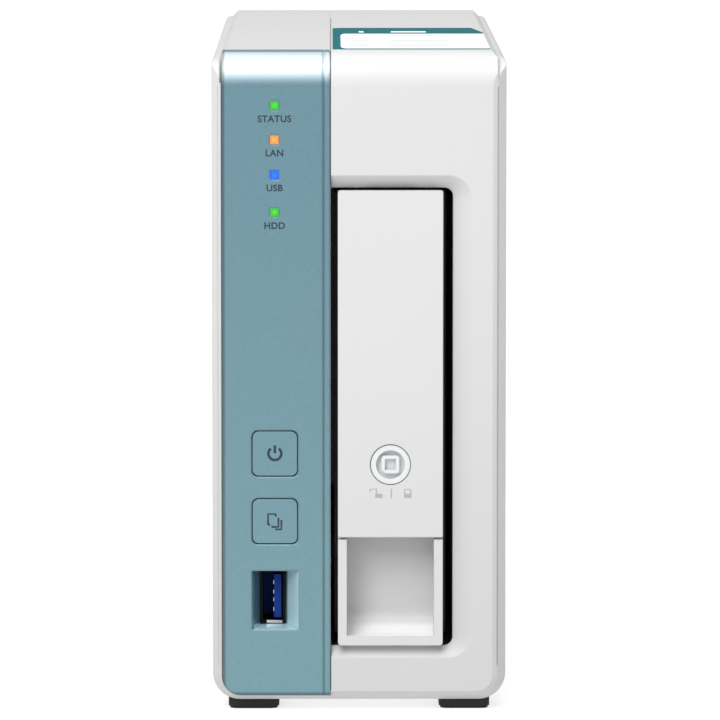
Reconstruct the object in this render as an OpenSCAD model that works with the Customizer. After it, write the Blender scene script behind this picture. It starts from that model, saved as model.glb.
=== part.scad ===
// Single-bay network storage enclosure: two white casing halves, a teal status panel, a lockable drive tray
// on rails, and the boards, connectors and fan inside. Front faces -Y, up is +Z, millimetres.

/* [Casing] */
// Overall width
body_w = 75; // [75:0.5:78]
// Overall height, feet included
body_h = 169; // [169:0.5:173]
// Overall depth, from the tray's lever to the rear rim
body_d = 219; // [219:1:228]
// Casing wall
wall = 2.2; // [2:0.1:2.4]
// Radius where the front rolls over into the top
roll_r = 9; // [8.5:0.1:9.5]
// Radius of the two lower long edges
low_r = 7; // [6.5:0.1:7.5]
// Height of the step along the two upper long edges
edge_step = 1.7; // [1.4:0.1:1.9]
// Height of the rubber feet below the casing
foot_h = 2.6; // [2.2:0.1:3]

/* [Drive tray] */
// Width of the white tray front
tray_w = 26.8; // [26.6:0.1:27]
// Gap between the tray front and the bay on each side
bay_gap = 2.5; // [2.3:0.1:2.7]
// How far the lever stands proud of the front
lever_proud = 0.5; // [0.3:0.1:0.6]
// Height of the finger recess below the lever
scoop_h = 25; // [22:0.5:26]

/* [Status panel] */
// Side of the square buttons
button_w = 11.3; // [10.8:0.1:11.5]
// Gap round each button
button_gap = 0.3; // [0.3:0.05:0.5]
// Side of the square indicator windows
led_w = 2.2; // [1.8:0.1:2.4]

/* [Fan] */
// Number of fan blades
blade_count = 7; // [5:1:9]

/* [Hidden] */
$fn = 48;
hull_fn = 32;
slim = 0.01;       // thickness of the slabs that a hull joins

// Casing limits
x_left = -body_w / 2;
x_right = body_w / 2;
z_low = foot_h;
z_top = body_h;
y_front = -body_d / 2 + lever_proud;
y_rear = body_d / 2;
seam_x = x_left + 30.3;
seam_gap = 0.1;
seam_lap = [3, 1.5];         // strip behind the seam: width on the left and on the right half
lap_t = 1.2;
edge_in = 2.1;               // the step's wall, from the side
edge_run = 1.6;              // width of the slope above the step
edge_r = 1.6;                // rounding below the step
room_in = 4.6;               // full height of the room begins here, from the side
facet_side = [3.4, 2.0];     // inset of the front facets at the sides
facet_low = [2.4, 1.4];      // and along the lower edge
facet_y = [0.8, 3.2];        // depth at which each facet ends
face_r = 4;                  // corner radius of the flat front face
front_wall = 3.2;

// Status panel
panel_x0 = x_left + 2.6;
panel_x1 = seam_x - 0.15;
panel_z0 = z_low + 1.5;
panel_t = 2;
panel_r = 4.8;
panel_top_y = y_front + 9.6;
panel_corner = [1, 4.5];     // corners of the panel on the top: across, and along the roll
slot_end = 2;                // the open line beside the roll stops this far before the panel's end
panel_seat = 0.15;
rim_line_x = [1.5, 2.1];     // fine lines along the front edges, from the left and from the right side
rim_line_w = 0.24;
rim_line_t = [1.55, 0.95];   // their depths
label_slant = [2.6, 24];     // slanted rear corner of the label, across and along
groove_x = seam_x - 1.8;
panel_cx = x_left + 16;
power_z = 66.4;
copy_z = 49;
led_z = [155.3, 146.6, 137.7, 128.1];
port_x = x_left + 15.4;
port_z = 28.9;
port_face_y = y_front + 5;
mouth_x = [port_x - 5.4, port_x + 6.7];
mouth_z = [21.1, 36.2];
throat_x = [port_x - 3.2, port_x + 3.2];
throat_z = [21.9, 35.8];

// Boards
board_t = 1.6;
port_half = 2.86;
main_x = port_x - port_half;  // component face of the main board
main_y = [y_front + 8, y_rear - 6];
main_z = [z_low + 7.4, 92];
panel_board_y = y_front + 8.5;
panel_board_z = [40.5, led_z[0] + 5];
panel_post_x = x_left + 6.5;
panel_post_z = [43.8, 100, led_z[0] + 2.5];
backplane_y = y_front + 170.5;

// Drive bay and tray
tray_cx = x_right - 29.5;
bay_x = [tray_cx - tray_w / 2 - bay_gap, tray_cx + tray_w / 2 + bay_gap];
bay_z = [16.6, 134.2];
bay_r = 2.2;
bay_slope = [4.9, 2.8, 3.3];  // width of the sloped surround: side, below, above
bay_slope_y = 3;
cage_t = 1.2;
cage_y = [y_front + 4, y_front + 169];
cage_tab_y = [cage_y[0] + 19, cage_y[1] - 19];
cage_tab_z = [bay_z[0] + 2.8, bay_z[1] - 7.8];
cage_tab_x = bay_x[1] + cage_t + 5;
tray_x = [tray_cx - tray_w / 2, tray_cx + tray_w / 2];
tray_z = [16.9, 133.7];
lever_z = 44.9;
lever_t = 2;
lever_y = y_front - lever_proud;
frame_y = y_front - 0.1;
bezel_back_y = y_front + 13;
scoop_deep_y = y_front + 10.4;
scoop_wall = 2.3;
scoop_r = 7;
scoop_z = lever_z - 0.6 - scoop_h;
carrier_x = [tray_x[0] - 1, tray_x[1] + 0.9];
carrier_z = [18.4, 132.4];
carrier_y = [bezel_back_y, y_front + 165];
drive_cz = (tray_z[0] + tray_z[1]) / 2;
drive_y = [bezel_back_y + 2, bezel_back_y + 149];
drive_half = 51.1;            // half the clear height for a drive 101.6 wide
large_drive_y = [drive_y[1] - 41.28 - 44.45, drive_y[1] - 41.28];
small_drive_y = [drive_y[1] - 90.6, drive_y[1] - 14];
small_drive_z = drive_cz - 11;
runner_w = 3;
ridge_w = 2.8;
groove_w = 3.4;
pivot_y = y_front + 2.6;
pivot_z = tray_z[1] - 1.7;
ear_r = 1.5;
pin_r = 0.75;
pin_run = 0.05;
lock_z = 63.6;
bezel_screw_z = [77, 120];
lock_r = 5.1;
lock_run = 0.08;
key_w = 4.6;
key_hole = 2.8;

// Rear
panel_back_y = y_rear - 2.9;  // rear face of the rear panel
back_t = 1.2;
fan_size = 60;
fan_t = 15;
fan_z = 128;
fan_pitch = 25;
vent_pitch = 4.6;
vent_r = 2.2;
vent_reach = [8, 25.6];
fan_y = [panel_back_y - back_t - 0.2 - fan_t, panel_back_y - back_t - 0.2];
lan_z = 66;
rear_port_z = 45;
jack_z = 20;
reset_z = 83;
face_y = panel_back_y + 1;    // where the connectors end
boss_x = 31;
boss_z = [z_low + 7, z_top - 6.6];
boss_r = 2.9;
boss_len = 14;
screw_r = 1.3;
foot_w = 13;
foot_x = 27;
foot_y = [y_front + 10.5, y_rear - 10.5];
foot_seat = 1;

// ---------- helpers ----------

module along_y(y0, y1) translate([0, y1, 0]) rotate([90, 0, 0]) linear_extrude(y1 - y0) children();

module along_x(x0, x1) translate([x0, 0, 0]) rotate([90, 0, 90]) linear_extrude(x1 - x0) children();

module block(x, y, z) translate([x[0], y[0], z[0]]) cube([x[1] - x[0], y[1] - y[0], z[1] - z[0]]);

module rod_y(x, z, r, y0, y1) translate([x, y0, z]) rotate([-90, 0, 0]) cylinder(r = r, h = y1 - y0);

module rod_x(y, z, r, x0, x1) translate([x0, y, z]) rotate([0, 90, 0]) cylinder(r = r, h = x1 - x0);

// Rectangle with its own radius on the two lower and the two upper corners
module soft_rect(x, z, r_low, r_up) {
    translate([x[0] + r_low, z[0]]) square([x[1] - x[0] - 2 * r_low, r_low]);
    translate([x[0], z[0] + r_low]) square([x[1] - x[0], z[1] - z[0] - r_low - r_up]);
    translate([x[0] + r_up, z[1] - r_up]) square([x[1] - x[0] - 2 * r_up, r_up]);
    for (s = [0, 1]) {
        translate([s ? x[1] - r_low : x[0] + r_low, z[0] + r_low]) circle(r_low);
        translate([s ? x[1] - r_up : x[0] + r_up, z[1] - r_up]) circle(r_up);
    }
}

// Casing outline seen from the front, moved in by side, low and up
module outline(side, low, up, r_low, r_up)
    soft_rect([x_left + side, x_right - side], [z_low + low, z_top - up], r_low, r_up);

// Casing seen from the side, moved in by t: square at the back, rolled over at the front top
module side_view(t) {
    r = roll_r - t;
    y0 = y_front + t;
    translate([y0, -1]) square([body_d + 2, z_top - t - r + 1]);
    translate([y0 + r, -1]) square([body_d + 2, z_top - t + 1]);
    translate([y0 + r, z_top - t - r]) circle(r, $fn = 96);
}

// Outline with the sloped step along its two upper corners
module stepped_outline() {
    run = edge_in + edge_run;
    outline(0, 0, edge_step, low_r, edge_r);
    polygon([[x_left + edge_in, z_top - edge_step - 1], [x_right - edge_in, z_top - edge_step - 1],
             [x_right - edge_in, z_top - edge_step], [x_right - run, z_top],
             [x_left + run, z_top], [x_left + edge_in, z_top - edge_step]]);
}

// Solid outer form of the casing
module casing_block() {
    above = -20;    // the facets run on above the top, where the side view cuts them
    intersection() {
        union() {
            hull() {
                along_y(y_front, y_front + slim)
                    outline(facet_side[0], facet_low[0], above, face_r, edge_r, $fn = hull_fn);
                along_y(y_front + facet_y[0], y_front + facet_y[0] + slim)
                    outline(facet_side[1], facet_low[1], above, face_r + 1.4, edge_r, $fn = hull_fn);
                along_y(y_front + facet_y[1], y_front + facet_y[1] + slim)
                    outline(0, 0, above, low_r, edge_r, $fn = hull_fn);
            }
            along_y(y_front + facet_y[1], y_rear) stepped_outline();
        }
        union() {
            along_x(x_left + edge_in, x_right - edge_in) side_view(0);
            along_x(x_left - 1, x_right + 1) translate([0, -edge_step]) side_view(0);
        }
    }
}

// Inner outline of the casing walls, made smaller by gap
module room_outline(gap) {
    g = wall + gap;
    outline(g, g, g + edge_step, low_r - g, 0.8);
    translate([x_left + room_in + gap, z_top - g - 20]) square([body_w - 2 * (room_in + gap), 20]);
}

// Room inside the casing, open at the rear
module casing_room(x0, x1) {
    intersection() {
        along_y(y_front + front_wall, y_rear + 1) room_outline(0);
        along_x(x0, x1) side_view(wall);
        block([x0, x1], [y_front, y_rear + 2], [0, z_top + 1]);
    }
}

module half_space(x0, x1) block([x0, x1], [y_front - 1, y_rear + 1], [0, z_top + 1]);

module shell_bosses(side) {
    y = [panel_back_y - back_t - boss_len, panel_back_y - back_t];
    for (z = boss_z) translate([side * boss_x, 0, z]) difference() {
        union() {
            rod_y(0, 0, boss_r, y[0], y[1]);
            block([side > 0 ? 0 : -4.4, side > 0 ? 4.4 : 0], y, [-1, 1]);
        }
        rod_y(0, 0, screw_r, y[0] + 4, y[1] + 1);
    }
}

module foot_places() for (x = [-foot_x, foot_x], y = foot_y) translate([x, y, 0]) children();

module foot_solid(grow) linear_extrude(foot_h + foot_seat)
    soft_rect([-foot_w / 2 - grow, foot_w / 2 + grow], [-foot_w / 2 - grow, foot_w / 2 + grow], 2, 2);

module floor_slots(x0, count) {
    for (i = [0 : count - 1])
        translate([x0, -50 + i * 8, z_low - 1]) linear_extrude(wall + 2)
            soft_rect([0, 20], [0, 3], 1.4, 1.4);
}

// Fine line cut along a front edge
module rim_line(x, depth)
    block([x - rim_line_w / 2, x + rim_line_w / 2], [y_front - 1, y_front + depth],
          [z_low + 9, z_top - roll_r]);

// Strip behind the seam, against the inner faces of both halves
module seam_strip() {
    x = [seam_x - seam_lap[0], seam_x + seam_lap[1]];
    y = [y_front + front_wall, panel_back_y - back_t - 0.3];
    intersection() {
        along_x(x[0], x[1]) difference() {
            side_view(wall);
            side_view(wall + lap_t);
        }
        block(x, y, [z_top - roll_r - 2, z_top]);
    }
    block(x, [y[0], y[0] + lap_t], [bay_z[1] + cage_t + 0.4, z_top - roll_r]);
    block(x, [y[0], y[0] + lap_t], [z_low + wall, bay_z[0] - cage_t - 0.4]);
    block(x, y, [z_low + wall, z_low + wall + lap_t]);
}

// ---------- casing ----------

module panel_outline(grow) {
    r = panel_r + grow;
    translate([panel_x0 - grow + r, panel_z0 - grow]) square([panel_x1 - panel_x0 + 2 * grow - r, r]);
    translate([panel_x0 - grow, panel_z0 - grow + r])
        square([panel_x1 - panel_x0 + 2 * grow, z_top - panel_z0 + 2 * grow]);
    translate([panel_x0 - grow + r, panel_z0 - grow + r]) circle(r);
}

// Outline of the status panel seen from above
module panel_plan(grow) {
    x = [panel_x0 - grow, panel_x1 + grow];
    y = [y_front - 5, panel_top_y + grow];
    r = [panel_corner[0] + grow, panel_corner[1] + grow];
    corner = [for (a = [0 : 15 : 90]) [r[0] * (1 - cos(a)), r[1] * (1 - sin(a))]];
    right_corner = [for (c = corner) [x[1] - c[0], y[1] - c[1]]];
    left_corner = [for (i = [len(corner) - 1 : -1 : 0]) [x[0] + corner[i][0], y[1] - corner[i][1]]];
    translate([0, 0, -1]) linear_extrude(z_top + 3)
        polygon(concat([[x[1], y[0]]], right_corner, left_corner, [[x[0], y[0]]]));
}

module front_window(x, z) block(x, [y_front - 1, y_front + 6], z);

module left_shell() {
    color("white") difference() {
        intersection() {
            casing_block();
            half_space(x_left - 1, seam_x - seam_gap / 2);
        }
        casing_room(x_left - 1, seam_x);
        // seat of the status panel, cut through where the panel's parts pass
        intersection() {
            along_y(y_front - 1, panel_top_y + 1) panel_outline(panel_seat);
            panel_plan(panel_seat);
            difference() {
                along_x(x_left - 1, seam_x) translate([-0.5, 0.5]) side_view(-0.5);
                along_x(x_left - 2, seam_x + 1) side_view(panel_t + 0.1);
            }
        }
        front_window([panel_cx - 8, panel_cx + 8], [copy_z - 8, power_z + 8]);
        front_window([panel_cx - 3, panel_cx + 3], [led_z[3] - 4, led_z[0] + 4]);
        front_window([mouth_x[0] - 1.5, mouth_x[1] + 1.5], [mouth_z[0] - 1.5, mouth_z[1] + 1.5]);
        // open line between the rim and the panel where it rolls over
        intersection() {
            along_x(panel_x0 - 0.5, panel_x0) difference() {
                side_view(-1);
                side_view(panel_t - 0.2);
            }
            block([x_left, panel_x0 + 1], [y_front - 1, panel_top_y - slot_end], [z_top - 8, z_top + 1]);
        }
        rim_line(x_left + rim_line_x[0], rim_line_t[0]);
        foot_places() foot_solid(0.1);
        floor_slots(-32, 12);
    }
    color("white") shell_bosses(-1);
    color("white") seam_strip();
    // posts that hold the panel board
    color("white") for (z = panel_post_z) difference() {
        rod_y(panel_post_x, z, 2.6, y_front + front_wall - 0.5, panel_board_y);
        rod_y(panel_post_x, z, 1.25, panel_board_y - 4, panel_board_y + 1);
    }
}

module bay_outline(side, low, up, r) {
    x1 = bay_x[1] + side;
    high = bay_z[1] - bay_z[0] + low + up;
    translate([seam_x - 5, bay_z[0] - low]) square([x1 - r - seam_x + 5, high]);
    translate([seam_x, bay_z[0] - low + r]) square([x1 - seam_x, high - 2 * r]);
    for (z = [bay_z[0] - low + r, bay_z[1] + up - r]) translate([x1 - r, z]) circle(r);
}

module right_shell() {
    color("white") difference() {
        intersection() {
            casing_block();
            half_space(seam_x + seam_gap / 2, x_right + 1);
        }
        casing_room(seam_x, x_right + 1);
        hull() {
            along_y(y_front - slim, y_front)
                bay_outline(bay_slope[0], bay_slope[1], bay_slope[2], 6, $fn = hull_fn);
            along_y(y_front + bay_slope_y, y_front + bay_slope_y + slim)
                bay_outline(0, 0, 0, bay_r, $fn = hull_fn);
        }
        along_y(y_front + bay_slope_y - 1, y_front + front_wall + 1) bay_outline(0, 0, 0, bay_r);
        rim_line(x_right - rim_line_x[1], rim_line_t[1]);
        foot_places() foot_solid(0.1);
        floor_slots(4, 12);
    }
    color("white") shell_bosses(1);
    // ledges under the cage's tabs
    color("white") for (y = cage_tab_y, z = cage_tab_z) difference() {
        block([cage_tab_x - 4, x_right - wall + 0.1], [y - 4, y + 4], [z - 6, z]);
        translate([cage_tab_x, y, z - 5]) cylinder(r = 1.45, h = 6);
    }
}

module usb_funnel(grow, y0, y1) {
    hull() {
        block([mouth_x[0] - grow, mouth_x[1] + grow], [y0, y0 + slim],
              [mouth_z[0] - grow, mouth_z[1] + grow]);
        block([throat_x[0] - grow, throat_x[1] + grow], [y1 - slim, y1],
              [throat_z[0] - grow, throat_z[1] + grow]);
    }
}

module button_outline(grow) {
    h = button_w / 2 + grow;
    soft_rect([-h, h], [-h, h], 1.5 + grow / 2, 1.5 + grow / 2);
}

module front_panel() {
    color("cadetblue") difference() {
        union() {
            intersection() {
                along_y(y_front - 1, panel_top_y + 1) panel_outline(0);
                panel_plan(0);
                difference() {
                    along_x(x_left, x_right) side_view(0);
                    along_x(x_left - 1, x_right + 1) side_view(panel_t);
                }
            }
            usb_funnel(1, y_front + 1, port_face_y - 0.1);
        }
        usb_funnel(0, y_front - slim, port_face_y);
        for (z = [power_z, copy_z]) translate([panel_cx, 0, z])
            along_y(y_front - 1, y_front + panel_t + 1) button_outline(button_gap);
        for (z = led_z) block([panel_cx - led_w / 2, panel_cx + led_w / 2],
                              [y_front - 1, y_front + panel_t + 1], [z - led_w / 2, z + led_w / 2]);
        intersection() {
            along_x(groove_x - 0.25, groove_x + 0.25) difference() {
                side_view(-1);
                side_view(0.35);
            }
            block([panel_x0, panel_x1], [y_front - 2, panel_top_y + 1], [panel_z0 + 0.5, z_top + 2]);
        }
    }
}

module top_label() {
    x = [seam_x + 0.5, x_right - edge_in - edge_run - 0.3];
    y = [y_front + roll_r + 1.2, y_front + 115];
    color("teal") translate([0, 0, z_top]) linear_extrude(0.15) difference() {
        soft_rect(x, y, 1, 3);
        // long slanted corner at the back
        polygon([[x[1] - label_slant[0], y[1] + 1], [x[1] - label_slant[0], y[1]],
                 [x[1], y[1] - label_slant[1]], [x[1] + 1, y[1] - label_slant[1]],
                 [x[1] + 1, y[1] + 1]]);
    }
}

module rubber_feet() {
    color("black") foot_places() {
        translate([0, 0, 0.6]) linear_extrude(foot_h + foot_seat - 0.6)
            soft_rect([-foot_w / 2, foot_w / 2], [-foot_w / 2, foot_w / 2], 2, 2);
        linear_extrude(0.6)
            soft_rect([0.4 - foot_w / 2, foot_w / 2 - 0.4], [0.4 - foot_w / 2, foot_w / 2 - 0.4], 2, 2);
    }
}

// ---------- status panel parts ----------

module lens(z, tint) {
    h = led_w / 2;
    color(tint) {
        block([panel_cx - h, panel_cx + h], [y_front - 0.05, y_front + panel_t + 0.3], [z - h, z + h]);
        block([panel_cx - h - 0.6, panel_cx + h + 0.6], [y_front + panel_t + 0.3, y_front + panel_t + 1],
              [z - h - 0.6, z + h + 0.6]);
        block([panel_cx - h + 0.3, panel_cx + h - 0.3], [y_front + panel_t + 1, panel_board_y - 1],
              [z - h + 0.3, z + h - 0.3]);
    }
}

module panel_board() {
    color("darkgreen") difference() {
        block([x_left + 4, seam_x - 5], [panel_board_y, panel_board_y + board_t], panel_board_z);
        for (z = panel_post_z) rod_y(panel_post_x, z, 1.4, panel_board_y - 1, panel_board_y + 3);
    }
}

module indicator_leds() {
    color("ivory") for (z = led_z)
        block([panel_cx - 0.8, panel_cx + 0.8], [panel_board_y - 0.9, panel_board_y], [z - 1, z + 1]);
}

module switch_bodies() {
    color("dimgray") for (z = [power_z, copy_z]) difference() {
        block([panel_cx - 3, panel_cx + 3], [panel_board_y - 3.5, panel_board_y], [z - 3, z + 3]);
        rod_y(panel_cx, z, 1.8, panel_board_y - 4, panel_board_y - 1.5);
    }
}

module button_cap(z) {
    color("cadetblue") translate([panel_cx, 0, z]) {
        along_y(y_front, y_front + panel_t + 0.3) button_outline(0);
        along_y(y_front + panel_t + 0.3, y_front + panel_t + 1) button_outline(1.1);
        rod_y(0, 0, 1.5, y_front + panel_t + 1, panel_board_y - 4.7);
    }
}

module switch_plunger(z)
    color("black") rod_y(panel_cx, z, 1.72, panel_board_y - 4.7, panel_board_y - 2.2);

module usb_shell(x, z, y0, y1, flare) {
    t = 0.3;
    difference() {
        union() {
            block([x - port_half, x + port_half], [y0, y1], [z - 6.55, z + 6.55]);
            block([x - port_half - flare, x + port_half + flare], [y0, y0 + 0.35],
                  [z - 6.55 - flare, z + 6.55 + flare]);
        }
        block([x - port_half + t, x + port_half - t], [y0 - 1, y1 - t], [z - 6.55 + t, z + 6.55 - t]);
    }
}

module front_port_shell() {
    color("silver") usb_shell(port_x, port_z, port_face_y + 0.2, port_face_y + 14, 0.3);
}

module tongue(x, z, y0, y1) block([x + 0.3, x + 2.15], [y0, y1], [z - 5.55, z + 5.55]);

module front_port_tongue() {
    color("royalblue") {
        tongue(port_x, port_z, port_face_y + 1.2, port_face_y + 11);
        block([port_x - 2.5, port_x + 2.5], [port_face_y + 11, port_face_y + 13.6],
              [port_z - 6.2, port_z + 6.2]);
    }
}

module front_port_contacts() {
    color("gold") for (dz = [-3.5, -1, 1, 3.5])
        block([port_x + 0.12, port_x + 0.3], [port_face_y + 1.6, port_face_y + 10.9],
              [port_z + dz - 0.5, port_z + dz + 0.5]);
}

// ---------- drive bay ----------

module drive_cage() {
    x = [bay_x[0] - cage_t, bay_x[1] + cage_t];
    z = [bay_z[0] - cage_t, bay_z[1] + cage_t];
    color("#262626") difference() {
        union() {
            block(x, cage_y, z);
            for (y = cage_tab_y, zz = cage_tab_z)
                block([x[1] - 0.5, x_right - wall - 0.3], [y - 5, y + 5], [zz, zz + cage_t]);
        }
        block(bay_x, [cage_y[0] - 1, cage_y[1] + 1], bay_z);
        // windows in both walls, for air
        for (i = [0 : 3])
            block([x[0] - 1, x[1] + 1], [cage_y[0] + 18 + i * 36, cage_y[0] + 44 + i * 36],
                  [bay_z[0] + 16, bay_z[1] - 16]);
        for (y = cage_tab_y, zz = cage_tab_z) translate([cage_tab_x, y, zz - 1]) cylinder(r = 1.7, h = 4);
    }
}

// Rail on the cage's floor or ceiling: a base with a ridge that the carrier's groove runs on
module rail(z, up) {
    w = ridge_w / 2;
    y = [bezel_back_y + 2, cage_y[1] - 2];
    color("#1c1c1c") {
        block([tray_cx - 9, tray_cx + 9], y, up > 0 ? [z, z + 1.5] : [z - 1.5, z]);
        block([tray_cx - w, tray_cx + w], y, up > 0 ? [z + 1.5, z + 3] : [z - 3, z - 1.5]);
    }
}

module cage_screws() {
    color("silver") for (y = cage_tab_y, z = cage_tab_z) translate([cage_tab_x, y, z]) {
        translate([0, 0, -3]) cylinder(r = 1.4, h = 3 + cage_t);
        translate([0, 0, cage_t]) difference() {
            cylinder(r = 2.7, h = 1.6);
            translate([0, 0, 0.6]) cylinder(r = 1.1, h = 2, $fn = 6);
        }
    }
}

// ---------- main board ----------

module main_board() {
    color("darkgreen") difference() {
        block([main_x - board_t, main_x], main_y, main_z);
        // step that clears the panel board
        block([main_x - 3, main_x + 1], [main_y[0] - 1, panel_board_y + board_t + 2],
              [panel_board_z[0] - 1, main_z[1] + 1]);
        for (p = standoff_places()) rod_x(p[0], p[1], 1.6, main_x - 3, main_x + 1);
    }
}

function standoff_places() =
    [for (y = [main_y[0] + 22, main_y[1] - 30], z = [main_z[0] + 4, main_z[1] - 4]) [y, z]];

module board_standoffs() {
    color("goldenrod") for (p = standoff_places()) difference() {
        rod_x(p[0], p[1], 2.6, x_left + wall, main_x - board_t);
        rod_x(p[0], p[1], 1.25, main_x - board_t - 5, main_x);
    }
}

module board_screws() {
    color("silver") for (p = standoff_places()) {
        rod_x(p[0], p[1], 1.2, main_x - board_t - 4, main_x);
        difference() {
            rod_x(p[0], p[1], 2.6, main_x, main_x + 1.5);
            rod_x(p[0], p[1], 1, main_x + 0.6, main_x + 2, $fn = 6);
        }
    }
}

module panel_screws() {
    y = panel_board_y + board_t;
    color("silver") for (z = panel_post_z) {
        rod_y(panel_post_x, z, 1.2, y - 5, y);
        difference() {
            rod_y(panel_post_x, z, 2.4, y, y + 1.4);
            rod_y(panel_post_x, z, 1, y + 0.6, y + 2, $fn = 6);
        }
    }
}

module processor() color("#303030") block([main_x, main_x + 1.4], [8, 31], [38, 61]);

module heatsink() {
    fins = 9;
    color("lightslategray") {
        block([main_x + 1.4, main_x + 3.4], [1, 38], [31, 68]);
        for (i = [0 : fins - 1]) block([main_x + 3.4, main_x + 13], [1, 38], [31 + i * 4.5, 32 + i * 4.5]);
    }
}

module memory_chips() {
    color("#202020") for (z = [32, 50]) block([main_x, main_x + 1.1], [-14, -4.5], [z, z + 13.5]);
}

module small_chips() {
    color("#252525") {
        block([main_x, main_x + 1.2], [-44, -34], [60, 70]);
        block([main_x, main_x + 1], [-70, -62], [34, 42]);
        block([main_x, main_x + 1.6], [69, 81], [64, 76]);
        block([main_x, main_x + 1], [-34, -28], [22, 28]);
        block([main_x, main_x + 1.4], [73, 80], [24, 34]);
    }
}

// Cans, each as [y, z, radius, height]
capacitor_list = [[84, 32, 3.15, 7.7], [82, 16, 4, 9.5], [62, 18, 4, 9.5],
                  [50, 16, 3.15, 7.7], [-80, 60, 3.15, 7.7]];

module capacitors() {
    color("#3a3f46") for (p = capacitor_list) {
        block([main_x, main_x + 0.8], [p[0] - p[2], p[0] + p[2]], [p[1] - p[2], p[1] + p[2]]);
        rod_x(p[0], p[1], p[2], main_x + 0.8, main_x + p[3]);
    }
}

module inductors() {
    color("#4a4a4a") for (p = [[48, 30], [48, 42], [-54, 20]]) {
        block([main_x, main_x + 3.4], [p[0] - 3.6, p[0] + 3.6], [p[1] - 3.6, p[1] + 3.6]);
        rod_x(p[0], p[1], 2.4, main_x + 3.4, main_x + 4);
    }
}

cell_y = -38;
cell_z = 44;

module cell_holder() {
    color("#181818") difference() {
        rod_x(cell_y, cell_z, 11.6, main_x, main_x + 4.4);
        rod_x(cell_y, cell_z, 10.1, main_x + 1, main_x + 5);
        block([main_x + 1, main_x + 5], [cell_y - 4, cell_y + 4], [cell_z + 5, cell_z + 13]);
    }
}

module coin_cell() color("gainsboro") rod_x(cell_y, cell_z, 10, main_x + 1, main_x + 4.2);

// ---------- rear connectors ----------

module network_port() {
    x = [main_x, main_x + 13.5];
    y = [face_y - 21, face_y];
    cut_y = [face_y - 13, face_y + 1];
    color("silver") difference() {
        block(x, y, [lan_z - 8, lan_z + 8]);
        // plug space, with the two steps for the plug's clip
        block([x[0] + 3.4, x[0] + 10.1], cut_y, [lan_z - 5.9, lan_z + 5.9]);
        block([x[0] + 1.8, x[0] + 3.5], cut_y, [lan_z - 3, lan_z + 3]);
        block([x[0] + 0.8, x[0] + 1.9], cut_y, [lan_z - 1.7, lan_z + 1.7]);
        for (s = [-5, 5]) block([x[0] + 11.2, x[0] + 12.6], [face_y - 1, face_y + 1],
                                [lan_z + s - 1.6, lan_z + s + 1.6]);
    }
}

module network_contacts() {
    color("gold") for (i = [0 : 7]) {
        z = lan_z - 3.82 + i * 1.02;
        block([main_x + 9.8, main_x + 10.1], [face_y - 13, face_y - 2], [z, z + 0.5]);
    }
}

rear_port_x = [main_x + 3.6, main_x + 11.4];

module rear_port_shell() {
    color("silver") difference() {
        block([main_x, main_x + 15.2], [face_y - 17.5, face_y], [rear_port_z - 6.7, rear_port_z + 6.7]);
        for (x = rear_port_x)
            block([x - 2.56, x + 2.56], [face_y - 16.6, face_y + 1],
                  [rear_port_z - 6.25, rear_port_z + 6.25]);
    }
}

module rear_port_tongues() {
    color("royalblue") for (x = rear_port_x) {
        tongue(x, rear_port_z, face_y - 13.6, face_y - 1);
        block([x - 2.5, x + 2.5], [face_y - 16.6, face_y - 13.6], [rear_port_z - 6.2, rear_port_z + 6.2]);
    }
}

jack_x = main_x + 6.4;

module power_jack() {
    color("#161616") difference() {
        block([main_x, main_x + 11], [face_y - 14, face_y], [jack_z - 4.5, jack_z + 4.5]);
        rod_y(jack_x, jack_z, 3.1, face_y - 10.5, face_y + 1);
    }
}

module jack_pin() color("silver") rod_y(jack_x, jack_z, 1, face_y - 10.5, face_y - 0.6);

reset_x = main_x + 2.6;
reset_y = panel_back_y - back_t;   // inner face of the rear panel

module reset_switch() {
    color("#202020") difference() {
        block([main_x, main_x + 5], [reset_y - 8, reset_y - 2.6], [reset_z - 3, reset_z + 3]);
        rod_y(reset_x, reset_z, 0.9, reset_y - 5.2, reset_y - 2);
    }
}

module reset_plunger() color("gainsboro") rod_y(reset_x, reset_z, 0.82, reset_y - 4.6, reset_y - 1);

module riser_slot() {
    color("#14181c") difference() {
        block([main_x, main_x + 8.5], [backplane_y - 2.4, backplane_y + board_t + 2.4], [26, 84]);
        block([main_x + 2, main_x + 9], [backplane_y - 0.1, backplane_y + board_t + 0.1], [27.6, 82.4]);
    }
}

module backplane_board() {
    y = [backplane_y, backplane_y + board_t];
    color("darkgreen") difference() {
        union() {
            block([main_x + 2.2, bay_x[0] - 1.5], y, [28, 82]);
            block([bay_x[0] - 1.5, bay_x[1] - 0.4], y, [22, 124]);
        }
        for (zz = [88, 100, 112]) block([bay_x[0] + 4, bay_x[1] - 5], [y[0] - 1, y[1] + 1], [zz, zz + 7]);
        for (zz = [26, 120]) rod_y(bay_x[1] - 3.4, zz, 1.6, y[0] - 1, y[1] + 1);
    }
}

connector_z = drive_cz - 17.5;
connector_x = tray_x[0] + 5.2;

module drive_connector() {
    c = connector_z;
    color("#181818") difference() {
        block([connector_x - 2.8, connector_x + 2.8], [backplane_y - 8.5, backplane_y], [c - 21, c + 21]);
        for (z = [[c - 18.6, c - 1], [c + 1, c + 18.6]])
            block([connector_x - 1.1, connector_x + 1.1], [backplane_y - 9, backplane_y - 3], z);
    }
}

// ---------- rear ----------

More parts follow.
